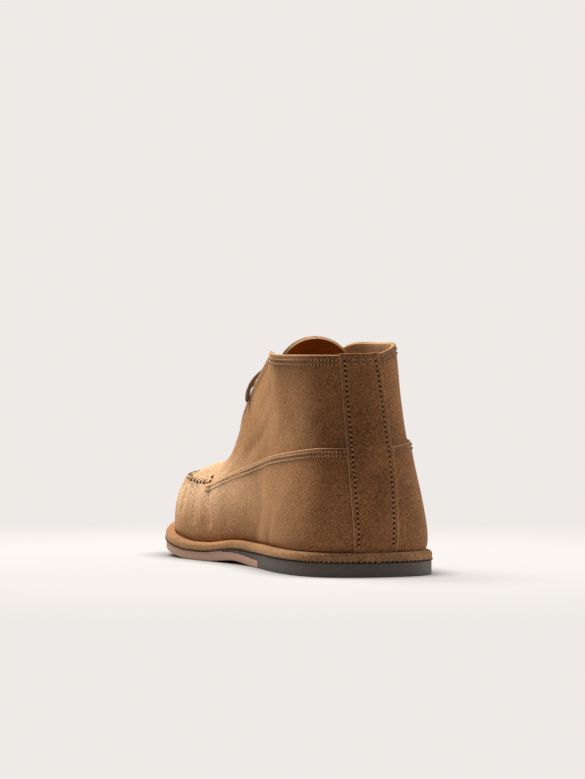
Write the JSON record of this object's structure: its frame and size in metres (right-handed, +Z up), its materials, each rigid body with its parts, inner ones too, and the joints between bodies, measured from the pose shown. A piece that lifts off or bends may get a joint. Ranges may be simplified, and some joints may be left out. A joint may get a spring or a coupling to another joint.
{
  "type": "chukka boot",
  "caption": "Ankle-high suede chukka boot with a moccasin toe, an open collar, a wrapped platform and a low rubber heel.",
  "frame": {"origin": "on the floor, under the middle of the sole's outline", "axes": "+Y towards the toe, +X towards the outer (lateral) side, +Z up"},
  "size_m": [0.107, 0.29, 0.131],
  "materials": {
    "suede": "napped suede",
    "lining": "smooth",
    "rubber": "matt",
    "sole_leather": "matt",
    "cord": "woven"
  },
  "bodies": {
    "root": {"upper": "suede", "mudguard": "suede", "backstay": "suede", "apron": "suede", "tongue": "suede", "midsole": "suede", "heel": "rubber", "outsole": "sole_leather", "insole": "lining", "lace": "cord"}
  },
  "joints": []
}
